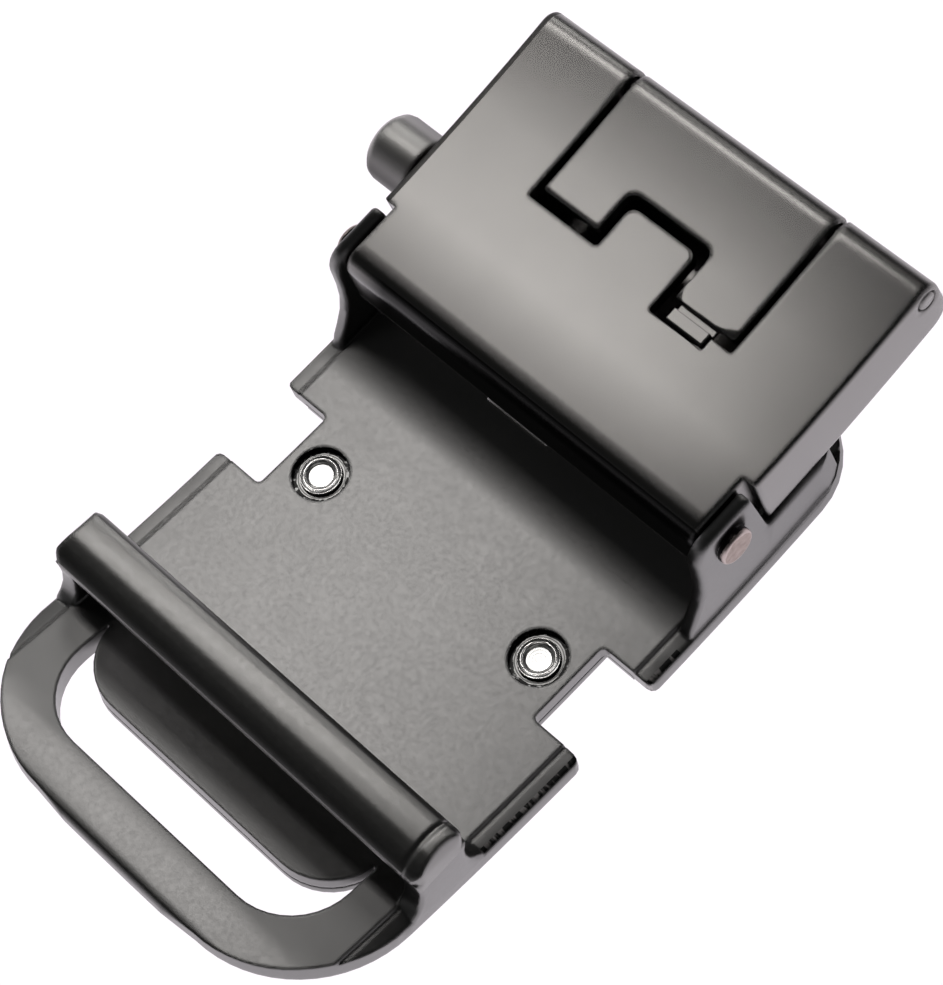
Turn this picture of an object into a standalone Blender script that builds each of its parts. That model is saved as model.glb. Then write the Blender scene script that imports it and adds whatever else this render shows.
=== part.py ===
"""Ratchet belt buckle, lying face down with its clamp side up.

Every piece is drawn flat, with s along the strap, y across it and h above the strap channel,
in millimetres. The last step wraps them all round one arc, the curve of a worn belt.
"""

import math

import bmesh
import bpy
from mathutils import Vector

# Belt curve and where it lies on the table
BELT_R = 177.0
REST_S = 8.8
SLICE = 3.0

# Plate
STRAP_W = 35.0
WALL_T = 1.45
WALL_PLAY = 1.2
HALF_W = STRAP_W / 2 + WALL_PLAY + WALL_T + 0.15
BACK_T = 1.3
LAYER_GAP = 0.12
FRONT_T = 1.05
RIM_BOTTOM = -2.2
FRONT_TOP = -BACK_T - LAYER_GAP
FRONT_BOTTOM = FRONT_TOP - FRONT_T
PLATE_END = 29.5
PLATE_CORNER = 6.5
CREASE_Y = 18.75
NOTCH_HALF = 3.85
NOTCH_Y = 15.35

# Loop and tongue
LOOP_END = -33.5
LOOP_C = -21.9
LOOP_CY = 9.0
LOOP_R = 11.25
OPEN_END = -28.95
OPEN_R = 5.9
OPEN_Y = 15.2
TONGUE_END = -24.9
TONGUE_R = 5.3
TONGUE_Y = 15.0
HORN_S = -20.35

# Strap bar
BAR_S0 = -20.55
BAR_S1 = -15.1
BAR_TOP = 6.25
BAR_BOTTOM = 3.75
FOOT_T = 2.0

# Ears and clamp housing
EAR_IN = HALF_W - WALL_T
EAR_OUT = HALF_W - 0.28
EAR_S0 = 11.45
EAR_S1 = 18.3
EAR_TOP = 10.25
RAIL_TOP = 3.75
RAIL_END = 26.2
PIVOT_S = 14.9
PIVOT_H = 7.7
BOX_TOP = 10.4
BOX_S0 = 12.4
BOX_FLOOR = 3.5
BOX_SIDE_BOTTOM = 4.1
BOX_NARROW = EAR_IN - 0.27
BOX_WIDE = 19.7
STEP_S = 18.9
HINGE_S = 39.0
HINGE_H = 8.9
BARREL_R = BOX_TOP - HINGE_H
PIN_R = 0.85
PIN_HOLE_R = 1.05
CAVITY_TOP = 9.0
CAVITY_FLOOR = 4.75

# Pawl lever and knob
LEVER_S = 18.0
LEVER_H = 6.0
KNOB_S = 23.5
KNOB_H = 7.1
KNOB_R = 3.12
KNOB_Y0 = 20.0
KNOB_Y1 = 24.7
PAWL_Y0 = -2.1
PAWL_Y1 = 4.4

# Rivets
RIVET_Y = 12.15
RIVET_R = 1.3
RIVET_HOLE_R = 1.5
RIVET_SINK_R = 2.35
RIVET_SINK = 0.55
RIVET_RIM_R = 1.75


def clear_scene():
    for obj in list(bpy.data.objects):
        bpy.data.objects.remove(obj, do_unlink=True)


def arc(ca, cb, radius, start, end, steps):
    """Points on an arc between two angles in degrees."""
    found = []
    for i in range(steps + 1):
        t = math.radians(start + (end - start) * i / steps)
        found.append((ca + radius * math.cos(t), cb + radius * math.sin(t)))
    return found


def rounded(corners, steps=4):
    """A polygon from (a, b, radius) corners, each corner turned into an arc."""
    found = []
    count = len(corners)
    for i in range(count):
        a, b, radius = corners[i]
        here = Vector((a, b))
        back = Vector(corners[i - 1][:2]) - here
        ahead = Vector(corners[(i + 1) % count][:2]) - here
        if radius <= 0:
            found.append((a, b))
            continue
        back.normalize()
        ahead.normalize()
        half = math.acos(max(-1.0, min(1.0, back.dot(ahead)))) / 2
        reach = radius / math.tan(half)
        middle = here + (back + ahead).normalized() * (radius / math.sin(half))
        first = here + back * reach - middle
        last = here + ahead * reach - middle
        a0 = math.atan2(first.y, first.x)
        turn = math.atan2(last.y, last.x) - a0
        turn = (turn + math.pi) % (2 * math.pi) - math.pi
        for k in range(steps + 1):
            t = a0 + turn * k / steps
            found.append((middle.x + radius * math.cos(t), middle.y + radius * math.sin(t)))
    return found


def mirrored(points):
    """The points, then the same with b negated in reverse order."""
    return points + [(a, -b) for a, b in reversed(points)]


def area(points):
    total = 0.0
    for i, (a, b) in enumerate(points):
        c, d = points[i - 1]
        total += c * b - a * d
    return total / 2


def inset(points, by):
    """A counterclockwise polygon moved inwards along its mitred normals."""
    found = []
    count = len(points)
    for i in range(count):
        here = Vector(points[i])
        back = (here - Vector(points[i - 1])).normalized()
        ahead = (Vector(points[(i + 1) % count]) - here).normalized()
        n0 = Vector((-back.y, back.x))
        n1 = Vector((-ahead.y, ahead.x))
        n = n0 + n1
        n = n / max(0.35, n.length_squared / 2)
        found.append((here.x + n.x * by, here.y + n.y * by))
    return found


def solid(name, axes, outline, low, high, edge_low=0.0, edge_high=0.0, steps=3):
    """The outline drawn in the first two axes, run along the third, with rounded rims.

    A negative edge radius flares the rim outwards, as a cutter needs.
    """
    if area(outline) < 0:
        outline = outline[::-1]
    rings = []
    if edge_low:
        for k in range(steps + 1):
            t = math.pi / 2 * k / steps
            rings.append((edge_low * (1 - math.sin(t)), low + abs(edge_low) * (1 - math.cos(t))))
    else:
        rings.append((0.0, low))
    if edge_high:
        for k in range(steps + 1):
            t = math.pi / 2 * (1 - k / steps)
            rings.append((edge_high * (1 - math.sin(t)), high - abs(edge_high) * (1 - math.cos(t))))
    else:
        rings.append((0.0, high))
    order = ["syh".index(c) for c in axes]
    bm = bmesh.new()
    loops = []
    for by, level in rings:
        loop = []
        for a, b in inset(outline, by) if by else outline:
            where = [0.0, 0.0, 0.0]
            where[order[0]] = a
            where[order[1]] = b
            where[order[2]] = level
            loop.append(bm.verts.new(where))
        loops.append(loop)
    count = len(outline)
    for first, second in zip(loops, loops[1:]):
        for i in range(count):
            j = (i + 1) % count
            bm.faces.new((first[i], first[j], second[j], second[i]))
    bm.faces.new(loops[0][::-1])
    bm.faces.new(loops[-1])
    bmesh.ops.recalc_face_normals(bm, faces=bm.faces)
    mesh = bpy.data.meshes.new(name)
    bm.to_mesh(mesh)
    bm.free()
    obj = bpy.data.objects.new(name, mesh)
    bpy.context.scene.collection.objects.link(obj)
    return obj


def box(name, s0, s1, y0, y1, h0, h1, edge=0.0):
    outline = [(s0, y0), (s1, y0), (s1, y1), (s0, y1)]
    return solid(name, "syh", outline, h0, h1, edge, edge)


def disc(name, s, h, radius, y0, y1, edge0=0.0, edge1=0.0, sides=32):
    """A round along y."""
    return solid(name, "shy", arc(s, h, radius, 0, 360, sides)[:-1], y0, y1, edge0, edge1)


def stud(name, s, y, radius, h0, h1, edge0=0.0, edge1=0.0, sides=32):
    """A round along h."""
    return solid(name, "syh", arc(s, y, radius, 0, 360, sides)[:-1], h0, h1, edge0, edge1)


def combine(obj, others, operation):
    for other in others:
        modifier = obj.modifiers.new("combine", "BOOLEAN")
        modifier.operation = operation
        modifier.solver = "EXACT"
        modifier.object = other
        bpy.context.view_layer.update()
        graph = bpy.context.evaluated_depsgraph_get()
        mesh = bpy.data.meshes.new_from_object(obj.evaluated_get(graph))
        obj.modifiers.clear()
        obj.data = mesh
        bpy.data.objects.remove(other, do_unlink=True)
    return obj


def join(obj, *others):
    return combine(obj, others, "UNION")


def cut(obj, *others):
    return combine(obj, others, "DIFFERENCE")


def common(obj, *others):
    return combine(obj, others, "INTERSECT")


def bent(s, y, h):
    """A flat position in millimetres, wrapped round the belt curve, in metres."""
    turn = (s - REST_S) / BELT_R
    radius = BELT_R - h
    x = radius * math.sin(turn) + SHIFT_X
    z = BELT_R - FRONT_BOTTOM - radius * math.cos(turn)
    return Vector((x / 1000, y / 1000 + SHIFT_Y / 1000, z / 1000))


def finish(obj, colour, metallic, roughness, smooth=32.0):
    """Cuts the piece into slices, wraps it round the belt curve and gives it its look."""
    bm = bmesh.new()
    bm.from_mesh(obj.data)
    bmesh.ops.remove_doubles(bm, verts=bm.verts, dist=0.0005)
    bmesh.ops.dissolve_degenerate(bm, edges=bm.edges, dist=0.0004)
    low = min(v.co.x for v in bm.verts)
    high = max(v.co.x for v in bm.verts)
    if high - low > SLICE * 1.2:
        pieces = max(1, round((high - low) / SLICE))
        for i in range(1, pieces):
            s = low + (high - low) * i / pieces + 0.0137
            everything = list(bm.verts) + list(bm.edges) + list(bm.faces)
            bmesh.ops.bisect_plane(bm, geom=everything, dist=0.0008, plane_co=(s, 0, 0), plane_no=(1, 0, 0))
    bmesh.ops.remove_doubles(bm, verts=bm.verts, dist=0.0005)
    bmesh.ops.triangulate(bm, faces=[f for f in bm.faces if len(f.verts) > 4])
    origin = bent(*PIVOTS[obj.name]) if obj.name in PIVOTS else bent(REST_S, 0, 0)
    for vert in bm.verts:
        vert.co = bent(*vert.co) - origin
    bmesh.ops.recalc_face_normals(bm, faces=bm.faces)
    mesh = bpy.data.meshes.new(obj.name)
    bm.to_mesh(mesh)
    bm.free()
    for polygon in mesh.polygons:
        polygon.use_smooth = True
    mesh.set_sharp_from_angle(angle=math.radians(smooth))
    obj.data = mesh
    obj.location = origin
    material = bpy.data.materials.new(obj.name + "_look")
    material.use_nodes = True
    shader = material.node_tree.nodes["Principled BSDF"]
    shader.inputs["Base Color"].default_value = (*colour, 1.0)
    shader.inputs["Metallic"].default_value = metallic
    shader.inputs["Roughness"].default_value = roughness
    mesh.materials.append(material)
    return obj


def back_frame():
    # Plan of the plate and loop
    half = arc(PLATE_END - PLATE_CORNER, HALF_W - PLATE_CORNER, PLATE_CORNER, 0, 90, 8)
    half += rounded_notch()
    half += arc(LOOP_C, LOOP_CY, LOOP_R, 90, 180, 16)
    half += [(LOOP_END + 0.03, 5.5), (LOOP_END, 2.0)]
    plan = mirrored(half)
    frame = solid("back_frame", "syh", plan, RIM_BOTTOM, 0.6, 0.5, 0.0)

    # Rounded cross section, with the side strips falling away from the crease
    section = [
        (CREASE_Y - 0.2, 0.0), (CREASE_Y - 0.02, -0.3), (CREASE_Y + 0.14, -0.16), (HALF_W - 0.35, -0.34),
        (HALF_W - 0.12, -0.44), (HALF_W + 0.02, -0.66), (HALF_W + 0.02, RIM_BOTTOM - 1.0),
    ]
    section = section + [(-a, b) for a, b in reversed(section)]
    common(frame, solid("crown", "yhs", section, LOOP_END - 5, PLATE_END + 5))

    # The end of the loop falls away a little and rounds over
    fall = [
        (PLATE_END + 6, 0.5), (-29.5, 0.5), (-29.5, 0.0), (LOOP_END + 0.9, -0.32), (LOOP_END + 0.3, -0.52),
        (LOOP_END + 0.05, -0.85), (LOOP_END - 0.05, -1.2), (LOOP_END - 0.05, -4.0), (PLATE_END + 6, -4.0),
    ]
    common(frame, solid("loop_fall", "shy", fall, -HALF_W - 2, HALF_W + 2))

    # Slot round the tongue
    outer = [(HORN_S, OPEN_Y - 0.02)] + arc(OPEN_END + OPEN_R, OPEN_Y - OPEN_R, OPEN_R, 90, 180, 10)
    outer = mirrored(outer)
    inner = arc(TONGUE_END + TONGUE_R, TONGUE_Y - TONGUE_R, TONGUE_R, 98.2, 180, 9)
    inner = mirrored(inner)[::-1]
    slot = outer + inner
    cut(frame, solid("slot", "syh", slot, -4.0, 2.0))

    # Seat for the front plate
    seat = front_outline(0.14)
    cut(frame, solid("seat", "syh", seat, RIM_BOTTOM - 1.0, -BACK_T))

    # Ears with their rails
    for side_sign in (1, -1):
        lead, rail = (EAR_S0 + 0.35, 2.5) if side_sign > 0 else (EAR_S0, RAIL_TOP)
        ear = [
            (lead - 3.3, -0.9, 0.0), (lead - 2.85, -0.1, 0.0), (lead - 2.55, 0.6, 0.0), (lead - 1.85, 1.6, 0.0),
            (lead - 1.05, 2.9, 0.0), (lead - 0.5, 4.5, 0.0), (lead - 0.25, 6.2, 0.0), (lead, EAR_TOP, 1.9),
            (EAR_S1 - 0.35, EAR_TOP, 0.45), (EAR_S1 + 0.2, rail, 0.5), (RAIL_END, rail, 0.4), (RAIL_END, -0.9, 0.0),
        ]
        shape = rounded(ear, 5)
        y0, y1 = (EAR_IN, EAR_OUT) if side_sign > 0 else (-EAR_OUT, -EAR_IN)
        low_edge, high_edge = (0.2, 0.35) if side_sign > 0 else (0.35, 0.2)
        wall = solid("ear", "shy", shape, y0, y1, low_edge, high_edge)
        keep = arc(PLATE_END - PLATE_CORNER - 0.04, HALF_W - 0.1 - PLATE_CORNER, PLATE_CORNER, 0, 90, 8)
        keep = solid("keep", "syh", mirrored(keep + [(0.0, HALF_W - 0.1)]), -3.0, 20.0)
        common(wall, keep)
        join(frame, wall)

    # Strap bar on its two feet
    for side_sign in (1, -1):
        foot = [
            (-21.7, -0.9), (-21.45, -0.2), (-20.9, 0.35), (-20.45, 1.1), (-20.25, 2.2), (-20.3, 3.1), (-20.45, 4.1),
            (-15.25, 4.1), (-15.5, 3.1), (-15.5, 2.2), (-15.2, 1.1), (-14.7, 0.35), (-14.1, -0.2), (-13.8, -0.9),
        ]
        y0, y1 = (HALF_W - FOOT_T, HALF_W) if side_sign > 0 else (-HALF_W, -HALF_W + FOOT_T)
        join(frame, solid("foot", "shy", foot, y0, y1, 0.3, 0.3))
    crown = [
        (BAR_S0 + 0.25, BAR_BOTTOM), (BAR_S0, BAR_BOTTOM + 0.3), (BAR_S0 + 0.1, 4.6), (BAR_S0 + 0.55, 5.2),
        (BAR_S0 + 1.3, 5.75), (BAR_S0 + 2.2, 6.1), (BAR_S0 + 3.1, BAR_TOP), (BAR_S1 - 1.4, 6.2),
        (BAR_S1 - 0.7, 5.9), (BAR_S1 - 0.2, 5.3), (BAR_S1, 4.6), (BAR_S1, BAR_BOTTOM + 0.3), (BAR_S1 - 0.25, BAR_BOTTOM),
    ]
    bar = solid("bar", "shy", crown, -HALF_W - 0.02, HALF_W + 0.02)
    ends = rounded([
        (-HALF_W - 0.02, 3.0, 0.0), (HALF_W + 0.02, 3.0, 0.0), (HALF_W + 0.02, 7.0, 2.1), (-HALF_W - 0.02, 7.0, 2.1),
    ], 6)
    common(bar, solid("bar_ends", "yhs", ends, BAR_S0 - 1, BAR_S1 + 1))
    corners = rounded([
        (BAR_S0 - 0.02, -HALF_W - 0.04, 1.1), (BAR_S1 + 0.02, -HALF_W - 0.04, 1.2),
        (BAR_S1 + 0.02, HALF_W + 0.04, 1.2), (BAR_S0 - 0.02, HALF_W + 0.04, 1.1),
    ], 5)
    common(bar, solid("bar_plan", "syh", corners, 2.0, 8.0))
    join(frame, bar)

    # Rivet and pin holes
    for y in (RIVET_Y, -RIVET_Y):
        cut(frame, stud("hole", 0.0, y, RIVET_HOLE_R, -3.0, 1.0))
        cut(frame, stud("sink", 0.0, y, RIVET_SINK_R, -RIVET_SINK, 1.0))
    cut(frame, disc("pin_bore", PIVOT_S, PIVOT_H, 1.25, -HALF_W - 1, HALF_W + 1))
    return frame


def rounded_notch():
    """The +y edge of the plate from its far corner to the loop, with the side notch."""
    points = rounded([
        (PLATE_END - PLATE_CORNER, 0.0, 0.0), (PLATE_END - PLATE_CORNER, HALF_W, 0.0),
        (NOTCH_HALF, HALF_W, 0.7), (NOTCH_HALF, NOTCH_Y, 0.45),
        (-NOTCH_HALF, NOTCH_Y, 0.45), (-NOTCH_HALF, HALF_W, 0.7), (LOOP_C, HALF_W, 0.0), (LOOP_C, 0.0, 0.0),
    ], 3)
    return points[2:-2]


def front_outline(grow):
    """Plan of the front face plate, grown on every side for the seat that takes it."""
    half = rounded([
        (27.0 + grow, 0.0, 0.0), (27.0 + grow, 18.2 + grow, 4.0), (NOTCH_HALF - grow, 18.2 + grow, 0.0),
        (NOTCH_HALF - grow, NOTCH_Y, 0.0), (-NOTCH_HALF + grow, NOTCH_Y, 0.0), (-NOTCH_HALF + grow, 18.2 + grow, 0.0),
        (-19.2 - grow, 18.2 + grow, 0.8), (-19.2 - grow, TONGUE_Y + grow, 0.0),
        (TONGUE_END + TONGUE_R, TONGUE_Y + grow, 0.0),
    ], 5)[1:]
    if grow:
        half = [p for p in half if not (abs(p[0]) <= NOTCH_HALF and p[1] <= NOTCH_Y + 0.01)]
    half += arc(TONGUE_END + TONGUE_R, TONGUE_Y - TONGUE_R, TONGUE_R + grow, 90, 180, 10)[1:]
    return mirrored(half)


def front_plate():
    plate = solid("front_plate", "syh", front_outline(0.0), FRONT_BOTTOM, FRONT_TOP, 0.4, 0.0)
    for y in (RIVET_Y, -RIVET_Y):
        cut(plate, stud("hole", 0.0, y, RIVET_HOLE_R, FRONT_TOP - 0.65, 0.0))
    return plate


def rivet(name, y):
    """A semi-tubular rivet with its rim rolled over in the counterbore round a shallow bright dish."""
    floor = FRONT_TOP - 0.5
    rim = -RIVET_SINK + 0.12
    top = -0.06
    shape = [
        (0.0, floor), (RIVET_R, floor), (RIVET_R, rim), (RIVET_RIM_R - 0.1, rim), (RIVET_RIM_R, rim + 0.12),
        (RIVET_RIM_R - 0.06, rim + 0.26), (1.45, top), (1.24, top), (1.1, top - 0.1), (1.02, top - 0.3),
        (0.0, top - 0.34),
    ]
    sides = 28
    bm = bmesh.new()
    rings = []
    for radius, h in shape:
        if radius == 0.0:
            rings.append([bm.verts.new((0.0, y, h))])
        else:
            rings.append([
                bm.verts.new((
                    radius * math.cos(2 * math.pi * i / sides), y + radius * math.sin(2 * math.pi * i / sides), h
                ))
                for i in range(sides)
            ])
    for first, second in zip(rings, rings[1:]):
        for i in range(sides):
            j = (i + 1) % sides
            if len(first) == 1:
                bm.faces.new((first[0], second[j], second[i]))
            elif len(second) == 1:
                bm.faces.new((first[i], first[j], second[0]))
            else:
                bm.faces.new((first[i], first[j], second[j], second[i]))
    bmesh.ops.recalc_face_normals(bm, faces=bm.faces)
    mesh = bpy.data.meshes.new(name)
    bm.to_mesh(mesh)
    bm.free()
    obj = bpy.data.objects.new(name, mesh)
    bpy.context.scene.collection.objects.link(obj)
    return obj


def door_opening():
    """Plan of the opening in the top of the housing, hinge side open."""
    return rounded([
        (37.2, 10.45, 0.0), (26.45, 10.45, 0.25), (26.45, 3.1, 0.35), (30.9, 3.1, 0.9), (30.9, -3.65, 0.8),
        (24.9, -3.65, 0.35), (24.9, -9.15, 0.2), (26.15, -9.15, 0.15), (26.15, -11.15, 0.2), (37.2, -11.15, 0.0),
    ], 4)


def clamp_housing():
    nose = rounded([
        (BOX_S0 + 0.35, BOX_FLOOR, 0.2), (BOX_S0 + 0.35, 4.55, 0.0), (BOX_S0, 4.7, 0.0), (BOX_S0, BOX_TOP, 1.6),
        (21.0, BOX_TOP, 0.0), (21.0, BOX_FLOOR, 0.0),
    ], 7)
    housing = solid("clamp_housing", "shy", nose, -BOX_NARROW, BOX_NARROW, 0.35, 0.35)
    rear = [(STEP_S, BOX_SIDE_BOTTOM), (STEP_S, BOX_TOP)]
    rear += arc(HINGE_S, HINGE_H, BARREL_R, 90, 0, 8)
    rear += arc(HINGE_S + BARREL_R - 2.1, BOX_SIDE_BOTTOM + 2.1, 2.1, 0, -90, 7)
    join(housing, solid("rear", "shy", rear, -BOX_WIDE, BOX_WIDE, 0.35, 0.35))
    # Opening for the door and for its knuckle
    cut(housing, solid("opening", "syh", door_opening(), CAVITY_TOP - 0.3, BOX_TOP + 2, 0.0, 0.0))
    cut(housing, box("knuckle_room", 36.9, 43.0, -11.15, 10.45, 7.0, BOX_TOP + 2))
    # Strap room, entered from the far end
    cut(housing, box("strap_room_front", 14.0, 21.0, -BOX_NARROW + 1.3, BOX_NARROW - 1.3, CAVITY_FLOOR, CAVITY_TOP))
    cut(housing, box("strap_room", 19.9, 36.3, -BOX_WIDE + 1.4, BOX_WIDE - 1.4, CAVITY_FLOOR, CAVITY_TOP))
    cut(housing, box("strap_mouth", 36.0, 43.0, -BOX_WIDE + 1.4, BOX_WIDE - 1.4, CAVITY_FLOOR, 7.15))
    # Window for the pawl, and the slot for the neck of its knob
    cut(housing, box("pawl_window", 11.0, 25.2, PAWL_Y0 - 0.35, PAWL_Y1 + 0.35, 3.0, CAVITY_FLOOR + 0.05))
    neck = rounded([(21.6, 5.1, 0.6), (25.1, 5.1, 0.6), (25.1, 8.65, 0.6), (21.6, 8.65, 0.6)], 4)
    cut(housing, solid("neck_slot", "shy", neck, BOX_WIDE - 3, BOX_WIDE + 1))
    # Bores
    cut(housing, disc("hinge_bore", HINGE_S, HINGE_H, PIN_HOLE_R, -BOX_WIDE - 1, BOX_WIDE + 1))
    for side in (1, -1):
        y = side * (BOX_NARROW - 0.3)
        cut(housing, disc("pivot_bore", PIVOT_S, PIVOT_H, 1.25, min(y, y + side * 2) - 1.2, max(y, y + side * 2) + 1.2))
    return housing


def clamp_door():
    plan = rounded([
        (HINGE_S, 9.85, 0.0), (27.65, 9.85, 0.25), (27.65, 4.05, 0.25), (31.95, 4.05, 1.0), (31.95, -4.6, 1.0),
        (27.15, -4.6, 0.0), (27.15, -5.15, 0.0), (25.2, -5.15, 0.12), (25.2, -8.85, 0.12), (27.15, -8.85, 0.0),
        (27.15, -10.6, 0.25), (HINGE_S, -10.6, 0.0),
    ], 4)
    door = solid("clamp_door", "syh", plan, CAVITY_TOP + 0.25, BOX_TOP, 0.0, 0.14, 2)
    cut(door, box("nail_groove", 26.4, 27.15, -12.0, -4.0, BOX_TOP - 0.75, BOX_TOP + 1))
    knuckle = disc("knuckle", HINGE_S, HINGE_H, BARREL_R, -10.6, 9.85, 0.14, 0.14, 40)
    join(door, knuckle)
    join(door, box("teeth_block", 32.6, 36.0, -9.0, 8.4, 8.55, CAVITY_TOP + 0.5))
    for i in range(2):
        s = 33.4 + 1.7 * i
        tooth = [(s - 0.75, 8.7), (s + 0.3, 7.75), (s + 0.75, 8.7)]
        join(door, solid("tooth", "shy", tooth, -8.6, 8.0))
    cut(door, disc("door_bore", HINGE_S, HINGE_H, PIN_HOLE_R, -12.0, 12.0))
    return door


def hinge_pin():
    return disc("hinge_pin", HINGE_S, HINGE_H, PIN_R, -BOX_WIDE - 0.05, BOX_WIDE + 0.05, 0.15, 0.15, 28)


def ear_pin(name, side):
    inner = side * (BOX_NARROW - 1.1)
    outer = side * (EAR_OUT + 0.5)
    pin = disc(name, PIVOT_S, PIVOT_H, 0.95, min(inner, outer), max(inner, outer), 0.0, 0.0, 28)
    y0 = side * (EAR_OUT + 0.12)
    y1 = side * (EAR_OUT + 0.85)
    low, high = (0.1, 0.3) if side > 0 else (0.3, 0.1)
    join(pin, disc("head", PIVOT_S, PIVOT_H, 1.65, min(y0, y1), max(y0, y1), low, high, 32))
    return pin


def ratchet_pawl():
    blade = rounded([
        (12.45, 4.0, 0.15), (12.45, 2.6, 0.35), (13.6, 2.15, 0.2), (15.6, 3.1, 0.6), (17.3, 3.9, 0.8),
        (21.2, 4.3, 1.0), (24.9, 5.5, 1.2), (25.0, 8.55, 1.2), (22.0, 8.55, 1.0), (19.6, 7.6, 0.8), (16.6, 7.4, 0.8),
        (14.9, 4.6, 0.6), (14.2, 4.1, 0.2),
    ], 4)
    pawl = solid("ratchet_pawl", "shy", blade, PAWL_Y0, PAWL_Y1, 0.15, 0.15)
    join(pawl, disc("rod", LEVER_S, LEVER_H, 0.9, -16.8, 16.8, 0.1, 0.1, 24))
    join(pawl, disc("neck", KNOB_S, KNOB_H, 1.2, 3.0, KNOB_Y0 + 1.0, 0.0, 0.0, 24))
    join(pawl, disc("knob", KNOB_S, KNOB_H, KNOB_R, KNOB_Y0, KNOB_Y1, 0.15, 0.95, 44))
    return pawl


BLACK = (0.035, 0.034, 0.035)
STEEL = (0.62, 0.61, 0.6)
BRONZE = (0.36, 0.27, 0.22)
PIVOTS = {
    "clamp_housing": (PIVOT_S, 0.0, PIVOT_H),
    "clamp_door": (HINGE_S, 0.0, HINGE_H),
    "ratchet_pawl": (LEVER_S, 0.0, LEVER_H),
}
SHIFT_X = 5.921
SHIFT_Y = -1.915

clear_scene()
finish(back_frame(), BLACK, 0.3, 0.42)
finish(front_plate(), BLACK, 0.3, 0.42)
finish(clamp_housing(), BLACK, 0.3, 0.42)
finish(clamp_door(), BLACK, 0.3, 0.42)
finish(ratchet_pawl(), BLACK, 0.3, 0.42)
finish(hinge_pin(), BLACK, 0.6, 0.4)
finish(ear_pin("ear_pin_near", -1), BRONZE, 0.9, 0.4)
finish(ear_pin("ear_pin_far", 1), BRONZE, 0.9, 0.4)
finish(rivet("rivet_far", RIVET_Y), STEEL, 1.0, 0.25)
finish(rivet("rivet_near", -RIVET_Y), STEEL, 1.0, 0.25)
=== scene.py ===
"""Ratchet belt buckle in satin black, on a white table under soft light.

Lengths are in metres. X runs along the strap, Y across it and Z up out of the buckle's back.
The solids stay as the frame has them. This script adds the camera, materials, smooth shading, table and light.
"""

import math

import bpy
from mathutils import Matrix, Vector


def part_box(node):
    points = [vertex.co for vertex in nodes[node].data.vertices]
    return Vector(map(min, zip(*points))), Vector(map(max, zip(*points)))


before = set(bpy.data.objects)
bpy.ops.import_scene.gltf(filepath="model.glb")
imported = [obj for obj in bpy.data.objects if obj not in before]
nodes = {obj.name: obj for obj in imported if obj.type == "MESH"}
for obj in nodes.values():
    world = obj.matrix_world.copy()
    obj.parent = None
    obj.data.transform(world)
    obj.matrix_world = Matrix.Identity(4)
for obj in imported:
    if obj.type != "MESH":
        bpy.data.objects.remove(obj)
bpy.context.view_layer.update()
scene = bpy.context.scene

# Camera, fitted to the corners of the plate, bar, ears and box in the photo
CAMERA_PLACE = (-0.03773, -0.10525, 0.2259)
CAMERA_RIGHT = (0.68393, -0.70095, -0.20225)
CAMERA_UP = (0.71049, 0.57701, 0.40282)
CAMERA_BACK = (-0.16566, -0.41919, 0.89266)
SENSOR_MM = 36.0
PHOTO_HEIGHT = 985
FOCAL_PIXELS = 3200

# Driving places of the plate and the box, as the solids have them
MIDDLE_Y = -0.001915
HALF_WIDTH = 0.02032
BOX_FRONT_X = 0.009342
BOX_END_X = 0.03638
BOX_SIDE_Y = 0.017785
RIVET_LOW, RIVET_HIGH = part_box("rivet_far")
PIN_LOW, PIN_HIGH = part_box("ear_pin_near")

# Coating, on all black pieces
CLOUD_SCALE = 240.0
GRAIN_SCALE = 2600.0
GRAIN_DEPTH = 0.00003
BOX_COLOUR = (0.208, 0.204, 0.2)
CAST_COLOUR = (0.206, 0.205, 0.204)

# Box, door and pawl. A bend makes a height of bend times distance squared
BOX_GRAIN = 0.003
CURVE_R = 0.16129
CURVE_LEVEL_X = 0.006065
CURVE_ALIKE = (0.9975, 0.9995)
DROOP_X = BOX_END_X - 0.01018
DROOP_BEND = 1.3
NOSE_X = BOX_FRONT_X + 0.007658
NOSE_BEND = 2.9
BROW_X = BOX_FRONT_X + 0.002358
BROW_BEND = 40.0
BOX_EDGE = 0.0006
HINGE_EDGE = 0.00085
HINGE_EDGE_X = (BOX_END_X - 0.00538, BOX_END_X - 0.00338)
LIP = (0.0225, -0.0088, 0.0134)
LIP_FLAT_R = (0.0018, 0.0022)
LIP_CRISP_R = (0.0018, 0.0045)
LIP_CRISP = 0.2
# Painted shade darkens the box's front, and a painted reflection lightens its foot
FRONT_X = BOX_FRONT_X + 0.000858
FOOT_REFLECTION_Z = 0.00755
FRONT_SHADE_COLOUR = (0.03, 0.03, 0.03)
FRONT_SHADE_FADE_Y = (0.0125, 0.0165)
FOOT_REFLECTION_COLOUR = (0.9, 0.88, 0.87)
# Painted shade darkens the box's far side and the line along its edge, and a painted highlight lightens the
# knob's top
FLANK_Y = BOX_SIDE_Y - 0.000585
FLANK_SHADE_COLOUR = (0.08, 0.078, 0.077)
FLANK_ROUGHER = 0.2
KNOB_X = 0.02002
KNOB_Y = BOX_SIDE_Y + 0.000215
KNOB_HIGHLIGHT_FADE = (0.0017, 0.0029)
KNOB_HIGHLIGHT_COLOUR = (0.45, 0.444, 0.435)
KNOB_SIDE_SHADE_COLOUR = (0.07, 0.068, 0.067)

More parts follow.
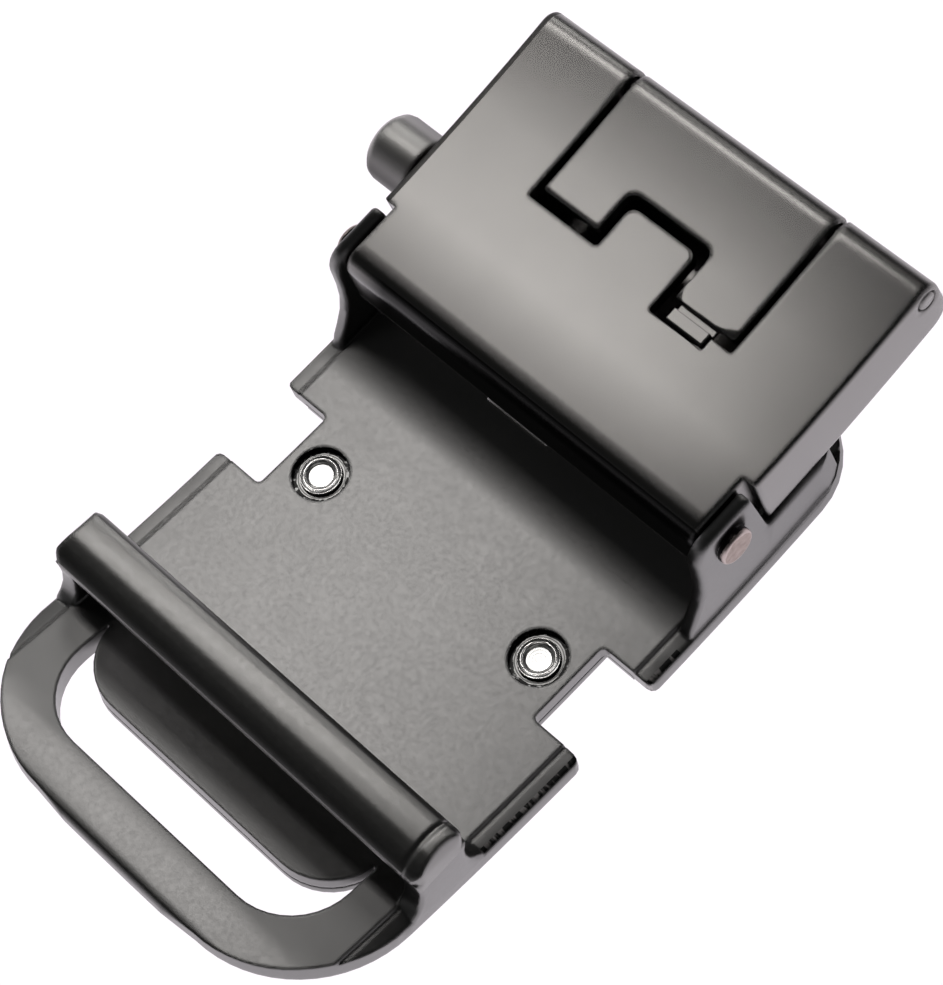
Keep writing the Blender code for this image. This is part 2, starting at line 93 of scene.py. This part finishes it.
# Cast frame and front plate
CAST_GRAIN = 0.035
CAST_EDGE = 0.0004
BAR_X = -0.01
BAR_Z = 0.0078
BAR_COLOUR = (0.235, 0.233, 0.23)
BAR_EDGE = 0.0007
BAR_CROWN_X = -0.0191
BAR_BEND_LOOP = 62.0
BAR_BEND_BOX = 135.0
GROOVE_Y = MIDDLE_Y - HALF_WIDTH + 0.001635
GROOVE_WIDTH = 0.00026
GROOVE_DEPTH = 0.00012
LOOP_BEND_X = -0.0175
LOOP_SLOPE = 0.1
TONGUE_SLOPE = 0.2
TONGUE_CORNER = (-0.0228, 0.0096)
TONGUE_CORNER_R = 0.00555
UNDER_BOX_X = BOX_FRONT_X - 0.005342
UNDER_BOX_BEND = 27.0
STRIP_X = -0.0168
STRIP_OUT = HALF_WIDTH - 0.00142
STRIP_SLOPE = 0.13
BURR_OUT = (HALF_WIDTH - 0.00062, HALF_WIDTH - 0.00022)
BURR_END_X = 0.0045
BURR_SCALE = 1500.0
BURR_STRETCH = (1.0, 0.3, 0.3)
BURR_RANGE = (0.5, 0.6)
# The burr's dark and light specks are painted shade and glints
BURR_SHADE_AND_GLINT_COLOURS = ((0.03, 0.03, 0.03), (0.28, 0.27, 0.27))
EAR_OUT = 0.016
EAR_Z = 0.0058
EAR_EDGE = 0.0009

# Rivets and the counterbores round them
RIVET_X = (RIVET_LOW[0] + RIVET_HIGH[0]) / 2
RIVET_OUT = (RIVET_LOW[1] + RIVET_HIGH[1]) / 2 - MIDDLE_Y
SINK_R = 0.00242
SINK_CRISP = 0.15
SPECK_SCALE = 1900.0
SPECK_RANGE = (0.56, 0.66)
SINK_COLOURS = ((0.02, 0.02, 0.02), (0.3, 0.3, 0.3))
FLARE_R = 0.00204
FLARE_RING = 0.00022
FLARE_SCALE = 900.0
FLARE_WOBBLE = 0.00007
FLARE_COLOURS = ((0.08, 0.08, 0.08), (0.42, 0.42, 0.415))
RIVET_EDGE = 0.00008
DISH_R = (0.00102, 0.0011)
DISH_COLOUR = (0.95, 0.95, 0.94)
RIM_RING = 0.00027
RIM_RELIEF = 0.000009
RIM_SCALE = 700.0
RIM_WOBBLE = 0.00009
RIM_ROUGH = (0.36, 0.2)
RIM_COLOURS = ((0.16, 0.16, 0.16), (0.9, 0.89, 0.88))
RIM_FALL_R = 0.0014
RIM_FALL = 0.75

# Ear pins
PIN_X = (PIN_LOW[0] + PIN_HIGH[0]) / 2
PIN_Z = (PIN_LOW[2] + PIN_HIGH[2]) / 2
PIN_R = (PIN_HIGH[0] - PIN_LOW[0]) / 2
PIN_OUT = MIDDLE_Y - PIN_LOW[1]
PIN_EDGE = 0.00012
PIN_ROUGH = 0.42
PIN_SCALE = 900.0
WORN_IN = (-0.00034, -0.00026)
WORN_WOBBLE = 0.0002
RIM_IN = (-0.00022, -0.00014)
RIM_IN_WOBBLE = 0.0001
BEAT_SCALE = 1500.0
BEAT_DEPTH = 0.00006
BRONZE_COLOURS = ((0.26, 0.205, 0.185), (0.36, 0.29, 0.265))
BRONZE_RIM_COLOUR = (0.5, 0.43, 0.41)
PIN_SIDE_COLOUR = (0.02, 0.018, 0.018)

# Smooth shading, table and light. The panels hang level, facing straight down
SMOOTH_ANGLE = 33.0
TABLE_SIZE = 3.0
TABLE_COLOUR = (1.0, 0.95, 1.0, 1.0)
TABLE_GLOW = 1.07
PANEL_Z = 0.2
SKY_LOW = 0.3
SKY_HIGH = 0.022
SKY_FADE_Z = 0.4


def place_camera():
    """The camera of the photo, with plain white kept white."""
    data = bpy.data.cameras.new("camera")
    data.sensor_width = SENSOR_MM
    data.lens = FOCAL_PIXELS / PHOTO_HEIGHT * SENSOR_MM
    data.clip_start = 0.01
    camera = bpy.data.objects.new("camera", data)
    turn = Matrix((CAMERA_RIGHT, CAMERA_UP, CAMERA_BACK)).transposed().to_4x4()
    camera.matrix_world = Matrix.Translation(CAMERA_PLACE) @ turn
    scene.collection.objects.link(camera)
    scene.camera = camera
    scene.view_settings.view_transform = "Standard"


def shade(colour, factor):
    return tuple(channel * factor for channel in colour)


class Look:
    """A metal made of nodes. A value is a number, a colour or the output of another node."""

    def __init__(self, name):
        self.material = bpy.data.materials.new(name)
        self.material.use_nodes = True
        self.tree = self.material.node_tree
        self.shader = self.tree.nodes["Principled BSDF"]
        self.shader.inputs["Metallic"].default_value = 1.0
        self.place = self.node("ShaderNodeTexCoord").outputs["Object"]

    def node(self, kind, **settings):
        made = self.tree.nodes.new(kind)
        for key, value in settings.items():
            setattr(made, key, value)
        return made

    def feed(self, value, socket):
        if isinstance(value, bpy.types.NodeSocket):
            self.tree.links.new(value, socket)
        else:
            socket.default_value = value

    def wear(self, name, value):
        self.feed(value, self.shader.inputs[name])

    def axes(self):
        apart = self.node("ShaderNodeSeparateXYZ")
        self.feed(self.place, apart.inputs["Vector"])
        return apart.outputs["X"], apart.outputs["Y"], apart.outputs["Z"]

    def noise(self, scale, detail=2.0, roughness=0.5, stretch=None):
        made = self.node("ShaderNodeTexNoise")
        self.feed(scale, made.inputs["Scale"])
        self.feed(detail, made.inputs["Detail"])
        self.feed(roughness, made.inputs["Roughness"])
        where = self.place
        if stretch:
            mapping = self.node("ShaderNodeMapping")
            self.feed(stretch, mapping.inputs["Scale"])
            self.feed(where, mapping.inputs["Vector"])
            where = mapping.outputs["Vector"]
        self.feed(where, made.inputs["Vector"])
        return made.outputs["Fac"]

    def spread(self, value, low, high, to_low=0.0, to_high=1.0):
        """Map low to high on to another range, held at its ends."""
        made = self.node("ShaderNodeMapRange")
        self.feed(value, made.inputs["Value"])
        self.feed(low, made.inputs["From Min"])
        self.feed(high, made.inputs["From Max"])
        self.feed(to_low, made.inputs["To Min"])
        self.feed(to_high, made.inputs["To Max"])
        return made.outputs["Result"]

    def wobble(self, noise, reach, margin=0.25):
        """Noise as an uneven distance of up to the reach to either side."""
        return self.spread(noise, margin, 1 - margin, -reach, reach)

    def mix(self, factor, first, second):
        """Blend two colours."""
        made = self.node("ShaderNodeMix", data_type="RGBA")
        for at, value in ((0, factor), (6, first), (7, second)):
            self.feed(value + (1.0,) if isinstance(value, tuple) else value, made.inputs[at])
        return made.outputs[2]

    def maths(self, operation, *values):
        made = self.node("ShaderNodeMath", operation=operation)
        for at, value in enumerate(values):
            self.feed(value, made.inputs[at])
        return made.outputs["Value"]

    def plus(self, first, second):
        return self.maths("ADD", first, second)

    def minus(self, first, second):
        return self.maths("SUBTRACT", first, second)

    def times(self, first, *others):
        for other in others:
            first = self.maths("MULTIPLY", first, other)
        return first

    def square(self, value):
        return self.maths("MULTIPLY", value, value)

    def above(self, value, limit):
        return self.maths("GREATER_THAN", value, limit)

    def below(self, value, limit):
        return self.maths("LESS_THAN", value, limit)

    def past(self, value, start):
        """How far a value is past a start, and 0 before it."""
        return self.maths("MAXIMUM", self.minus(value, start), 0.0)

    def off(self, value, centre):
        """How far a value is from a centre, to either side."""
        return self.maths("ABSOLUTE", self.minus(value, centre))

    def length(self, first, second):
        return self.maths("SQRT", self.plus(self.square(first), self.square(second)))

    def waves(self, distance, width):
        return self.maths("SINE", self.times(distance, 2 * math.pi / width))

    def vectors(self, operation, *values):
        made = self.node("ShaderNodeVectorMath", operation=operation)
        for at, value in enumerate(values):
            self.feed(value, made.inputs[at])
        return made.outputs

    def soft_edges(self, radius):
        """The normal, turned round the edges with a radius."""
        made = self.node("ShaderNodeBevel", samples=6)
        self.feed(radius, made.inputs["Radius"])
        return made.outputs["Normal"]

    def bump(self, height, normal, strength=1.0, distance=1.0):
        """Tilt a normal by a height over the surface."""
        made = self.node("ShaderNodeBump")
        self.feed(strength, made.inputs["Strength"])
        self.feed(distance, made.inputs["Distance"])
        self.feed(height, made.inputs["Height"])
        self.feed(normal, made.inputs["Normal"])
        return made.outputs["Normal"]

    def dress(self, *names):
        for name in names:
            nodes[name].data.materials.clear()
            nodes[name].data.materials.append(self.material)


class Coat(Look):
    """A satin black coating with faint clouds in its colour and a fine grain in its gloss and surface."""

    def __init__(self, name, colour, rough, uneven, cloudy):
        super().__init__(name)
        cloud = self.spread(self.noise(CLOUD_SCALE, 4.0), 0.3, 0.7)
        self.colour = self.mix(cloud, shade(colour, 1 - cloudy), shade(colour, 1 + cloudy))
        self.grain = self.noise(GRAIN_SCALE, 3.0, 0.6)
        self.gloss = self.spread(self.grain, 0.25, 0.75, rough - uneven, rough + uneven)

    def cover(self, colour, gloss, normal, strength, form):
        """Put colour and gloss on, and the grain and then the form's height over the normal."""
        self.wear("Base Color", colour)
        self.wear("Roughness", gloss)
        grained = self.bump(self.grain, normal, strength, GRAIN_DEPTH)
        self.wear("Normal", self.bump(form, grained))


def curved_normal(coat, x, normal):
    """The normal, but on the tops, whose facets it leaves out, that of one smooth hollow curve."""
    curve = coat.node("ShaderNodeCombineXYZ")
    coat.feed(coat.maths("MULTIPLY_ADD", x, -1 / CURVE_R, CURVE_LEVEL_X / CURVE_R), curve.inputs["X"])
    coat.feed(1.0, curve.inputs["Z"])
    turn = coat.node("ShaderNodeVectorTransform", vector_type="NORMAL")
    turn.convert_from = "OBJECT"
    turn.convert_to = "WORLD"
    coat.feed(curve.outputs["Vector"], turn.inputs["Vector"])
    smooth = coat.vectors("NORMALIZE", turn.outputs["Vector"])["Vector"]
    alike = coat.vectors("DOT_PRODUCT", smooth, normal)["Value"]
    blend = coat.node("ShaderNodeMix", data_type="VECTOR")
    coat.feed(coat.spread(alike, *CURVE_ALIKE), blend.inputs[0])
    coat.feed(normal, blend.inputs[4])
    coat.feed(smooth, blend.inputs[5])
    return blend.outputs[1]


def coat_box():
    """Fine coating of the box, door, pawl and hinge pin."""
    coat = Coat("black_coat", BOX_COLOUR, rough=0.225, uneven=0.01, cloudy=0.02)
    x, y, z = coat.axes()
    to_lip = coat.vectors("DISTANCE", coat.place, LIP)["Value"]

    # The tops droop towards the hinge and roll over at the front, but the lip by the door stays flat
    off_lip = coat.spread(to_lip, *LIP_FLAT_R)
    droop = coat.times(coat.square(coat.past(x, DROOP_X)), DROOP_BEND, off_lip)
    nose = coat.times(coat.square(coat.past(NOSE_X, x)), NOSE_BEND)
    brow = coat.times(coat.square(coat.past(BROW_X, x)), BROW_BEND)
    form = coat.minus(droop, coat.plus(nose, brow))

    # The edges are rounder at the hinge and crisp at the lip
    edge = coat.spread(x, *HINGE_EDGE_X, BOX_EDGE, HINGE_EDGE)
    edge = coat.times(edge, coat.spread(to_lip, *LIP_CRISP_R, LIP_CRISP, 1.0))
    normal = curved_normal(coat, x, coat.soft_edges(edge))

    # Painted shade makes the front black, with a painted reflection lightening its foot; painted shade darkens
    # the far side, and a painted highlight lightens the knob's top
    front = coat.mix(coat.spread(y, *FRONT_SHADE_FADE_Y), FRONT_SHADE_COLOUR, coat.colour)
    front = coat.mix(coat.below(z, FOOT_REFLECTION_Z), front, FOOT_REFLECTION_COLOUR)
    body = coat.mix(coat.below(x, FRONT_X), coat.colour, front)
    knob = coat.mix(coat.spread(coat.off(x, KNOB_X), *KNOB_HIGHLIGHT_FADE), KNOB_HIGHLIGHT_COLOUR, KNOB_SIDE_SHADE_COLOUR)
    painted_far_side = coat.mix(coat.above(y, KNOB_Y), FLANK_SHADE_COLOUR, knob)
    at_side = coat.above(y, FLANK_Y)
    colour = coat.mix(at_side, body, painted_far_side)
    gloss = coat.maths("MULTIPLY_ADD", at_side, FLANK_ROUGHER, coat.gloss)
    coat.cover(colour, gloss, normal, BOX_GRAIN, form)
    coat.dress("clamp_housing", "clamp_door", "ratchet_pawl", "hinge_pin")


def cast_form(coat, x, y, across, bar, strip):
    """Height over the casting: loop and tongue bend up, the bar is crowned, the side strips lie flatter."""
    corner = coat.length(coat.past(across, TONGUE_CORNER[1]), coat.past(TONGUE_CORNER[0], x))
    slope = coat.spread(coat.below(corner, TONGUE_CORNER_R), 0.0, 1.0, LOOP_SLOPE, TONGUE_SLOPE)
    rise = coat.times(coat.past(LOOP_BEND_X, x), slope)
    rise = coat.plus(rise, coat.times(coat.square(coat.past(x, UNDER_BOX_X)), UNDER_BOX_BEND))
    rise = coat.plus(rise, coat.times(coat.past(across, STRIP_OUT), STRIP_SLOPE, strip))
    beyond = coat.minus(x, BAR_CROWN_X)
    crown = coat.times(coat.square(beyond), coat.spread(beyond, -1e-5, 1e-5, BAR_BEND_LOOP, BAR_BEND_BOX))
    off_groove = coat.times(coat.minus(y, GROOVE_Y), 1 / GROOVE_WIDTH)
    groove = coat.maths("EXPONENT", coat.times(coat.square(off_groove), -1.0))
    crown = coat.minus(crown, coat.times(groove, GROOVE_DEPTH))
    return coat.plus(rise, coat.times(bar, coat.minus(crown, rise)))


def counterbore(coat, out):
    """Colour of the counterbores: dark with specks of burr, and rings of the cutter round the rivet."""
    speck = coat.spread(coat.noise(SPECK_SCALE, 2.0, 0.6), *SPECK_RANGE)
    floor = coat.mix(speck, *SINK_COLOURS)
    uneven = coat.wobble(coat.noise(FLARE_SCALE, 2.0, 0.6), FLARE_WOBBLE, 0.3)
    flare = coat.below(coat.plus(out, uneven), FLARE_R)
    swirl = coat.spread(coat.waves(out, FLARE_RING), -1.0, 1.0)
    return coat.mix(flare, floor, coat.mix(swirl, *FLARE_COLOURS))


def coat_casting():
    """Coarser coating of the cast frame and the front plate."""
    coat = Coat("cast_coat", CAST_COLOUR, rough=0.32, uneven=0.03, cloudy=0.03)
    x, y, z = coat.axes()
    across = coat.off(y, MIDDLE_Y)
    bar = coat.times(coat.above(z, BAR_Z), coat.below(x, BAR_X))
    strip = coat.times(coat.minus(1.0, bar), coat.above(x, STRIP_X))
    out = coat.length(coat.minus(x, RIVET_X), coat.minus(across, RIVET_OUT))
    sink = coat.below(out, SINK_R)

    # A line of burr runs along the near strip, its dark and light specks painted shade and glints
    grit = coat.spread(coat.noise(BURR_SCALE, 2.0, 0.7, BURR_STRETCH), *BURR_RANGE)
    near = coat.below(y, MIDDLE_Y - BURR_OUT[0])
    burr = coat.times(near, coat.below(across, BURR_OUT[1]), strip, coat.below(x, BURR_END_X))
    colour = coat.mix(burr, coat.mix(bar, coat.colour, BAR_COLOUR), coat.mix(grit, *BURR_SHADE_AND_GLINT_COLOURS))
    colour = coat.mix(sink, colour, counterbore(coat, out))

    # The bar and ears have rounder edges, and the counterbores crisp ones
    ear = coat.times(coat.above(across, EAR_OUT), coat.above(z, EAR_Z), coat.above(x, 0.0))
    bar_edge = coat.spread(bar, 0.0, 1.0, CAST_EDGE, BAR_EDGE)
    edge = coat.maths("MAXIMUM", bar_edge, coat.spread(ear, 0.0, 1.0, CAST_EDGE, EAR_EDGE))
    edge = coat.times(edge, coat.spread(sink, 0.0, 1.0, 1.0, SINK_CRISP))
    form = cast_form(coat, x, y, across, bar, strip)
    coat.cover(colour, coat.gloss, coat.soft_edges(edge), CAST_GRAIN, form)
    coat.dress("back_frame", "front_plate")


def bronze_pins():
    """Bronze shows on the peened ends, lighter at the rim, and the sides are black."""
    look = Look("peened_end")
    x, y, z = look.axes()
    uneven = look.noise(PIN_SCALE, 3.0, 0.6)
    beat = look.noise(BEAT_SCALE, 3.0)
    from_end = look.minus(look.off(y, MIDDLE_Y), PIN_OUT)
    worn = look.spread(look.plus(from_end, look.wobble(uneven, WORN_WOBBLE)), *WORN_IN)
    from_rim = look.minus(look.length(look.minus(x, PIN_X), look.minus(z, PIN_Z)), PIN_R)
    rim = look.spread(look.plus(from_rim, look.wobble(uneven, RIM_IN_WOBBLE)), *RIM_IN)
    face = look.mix(look.spread(beat, 0.35, 0.65), *BRONZE_COLOURS)
    face = look.mix(rim, face, BRONZE_RIM_COLOUR)
    look.wear("Base Color", look.mix(worn, PIN_SIDE_COLOUR, face))
    look.wear("Roughness", PIN_ROUGH)
    look.wear("Normal", look.bump(beat, look.soft_edges(PIN_EDGE), 0.5, BEAT_DEPTH))
    look.dress("ear_pin_near", "ear_pin_far")


def steel_rivets():
    """Bright steel, with a white dish inside a rolled rim of uneven rings that falls off outwards."""
    look = Look("bright_steel")
    x, y = look.axes()[:2]
    out = look.length(look.minus(x, RIVET_X), look.minus(look.off(y, MIDDLE_Y), RIVET_OUT))
    uneven = look.wobble(look.noise(RIM_SCALE, 3.0, 0.6), RIM_WOBBLE)
    ring = look.waves(look.plus(out, uneven), RIM_RING)
    on_rim = look.spread(out, *DISH_R)
    rim = look.mix(look.spread(ring, -0.8, 0.5), *RIM_COLOURS)
    look.wear("Base Color", look.mix(on_rim, DISH_COLOUR, rim))
    look.wear("Roughness", look.spread(ring, -1.0, 1.0, *RIM_ROUGH))
    relief = look.times(ring, on_rim, RIM_RELIEF)
    relief = look.plus(relief, look.times(look.past(out, RIM_FALL_R), RIM_FALL))
    look.wear("Normal", look.bump(relief, look.soft_edges(RIVET_EDGE)))
    look.dress("rivet_far", "rivet_near")


def smooth_by_angle(degrees):
    """A modifier group that shades round surfaces smoothly up to their sharp edges."""
    group = bpy.data.node_groups.new("smooth_by_angle", "GeometryNodeTree")
    group.interface.new_socket("Geometry", in_out="INPUT", socket_type="NodeSocketGeometry")
    group.interface.new_socket("Geometry", in_out="OUTPUT", socket_type="NodeSocketGeometry")
    start = group.nodes.new("NodeGroupInput")
    end = group.nodes.new("NodeGroupOutput")
    merge = group.nodes.new("GeometryNodeMergeByDistance")
    merge.inputs["Distance"].default_value = 0.0000005
    faces = group.nodes.new("GeometryNodeSetShadeSmooth")
    edges = group.nodes.new("GeometryNodeSetShadeSmooth")
    edges.domain = "EDGE"
    angle = group.nodes.new("GeometryNodeInputMeshEdgeAngle")
    below = group.nodes.new("FunctionNodeCompare")
    below.operation = "LESS_THAN"
    below.inputs[1].default_value = math.radians(degrees)
    group.links.new(start.outputs[0], merge.inputs["Geometry"])
    group.links.new(merge.outputs["Geometry"], faces.inputs["Geometry"])
    group.links.new(faces.outputs["Geometry"], edges.inputs["Geometry"])
    group.links.new(angle.outputs["Unsigned Angle"], below.inputs[0])
    group.links.new(below.outputs["Result"], edges.inputs["Shade Smooth"])
    group.links.new(edges.outputs["Geometry"], end.inputs[0])
    return group


def smooth_nodes():
    group = smooth_by_angle(SMOOTH_ANGLE)
    for node in nodes.values():
        modifier = node.modifiers.new("smooth", "NODES")
        modifier.node_group = group
        weight = node.modifiers.new("weight", "WEIGHTED_NORMAL")
        weight.keep_sharp = True
        weight.weight = 80


def lay_table():
    """A table that glows evenly white, as the photo's ground does."""
    bpy.ops.mesh.primitive_plane_add(size=TABLE_SIZE, location=(0, 0, 0))
    table = bpy.context.object
    table.name = "table"
    white = bpy.data.materials.new("white_table")
    white.use_nodes = True
    tree = white.node_tree
    tree.nodes.remove(tree.nodes["Principled BSDF"])
    glow = tree.nodes.new("ShaderNodeEmission")
    glow.inputs["Color"].default_value = TABLE_COLOUR
    glow.inputs["Strength"].default_value = TABLE_GLOW
    tree.links.new(glow.outputs["Emission"], tree.nodes["Material Output"].inputs["Surface"])
    table.data.materials.append(white)


def hang_panel(name, x, y, size_x, size_y, power, colour):
    """A panel of light that faces straight down."""
    data = bpy.data.lights.new(name, "AREA")
    data.shape = "RECTANGLE"
    data.size = size_x
    data.size_y = size_y
    data.energy = power
    data.color = colour
    panel = bpy.data.objects.new(name, data)
    panel.location = (x, y, PANEL_Z)
    scene.collection.objects.link(panel)


def light_room():
    """Four panels beyond the buckle's far side, in a room that is dim above and paler towards the horizon."""
    hang_panel("key", 0.0565, 0.1065, 0.035, 0.1, 0.06, (1.0, 0.975, 0.95))
    hang_panel("side", 0.165, 0.12, 0.06, 0.1, 0.02, (1.0, 0.98, 0.96))
    hang_panel("low", 0.225, 0.2, 0.1, 0.1, 0.13, (1.0, 0.99, 0.97))
    hang_panel("back", 0.05, 0.275, 0.1, 0.1, 0.09, (1.0, 0.99, 0.97))
    world = bpy.data.worlds.new("studio")
    scene.world = world
    world.use_nodes = True
    sky = world.node_tree
    direction = sky.nodes.new("ShaderNodeTexCoord")
    apart = sky.nodes.new("ShaderNodeSeparateXYZ")
    fade = sky.nodes.new("ShaderNodeMapRange")
    fade.inputs["From Max"].default_value = SKY_FADE_Z
    fade.inputs["To Min"].default_value = SKY_LOW
    fade.inputs["To Max"].default_value = SKY_HIGH
    background = sky.nodes["Background"]
    background.inputs["Color"].default_value = (1.0, 1.0, 1.0, 1.0)
    sky.links.new(direction.outputs["Generated"], apart.inputs["Vector"])
    sky.links.new(apart.outputs["Z"], fade.inputs["Value"])
    sky.links.new(fade.outputs["Result"], background.inputs["Strength"])


place_camera()
coat_box()
coat_casting()
bronze_pins()
steel_rivets()
smooth_nodes()
lay_table()
light_room()
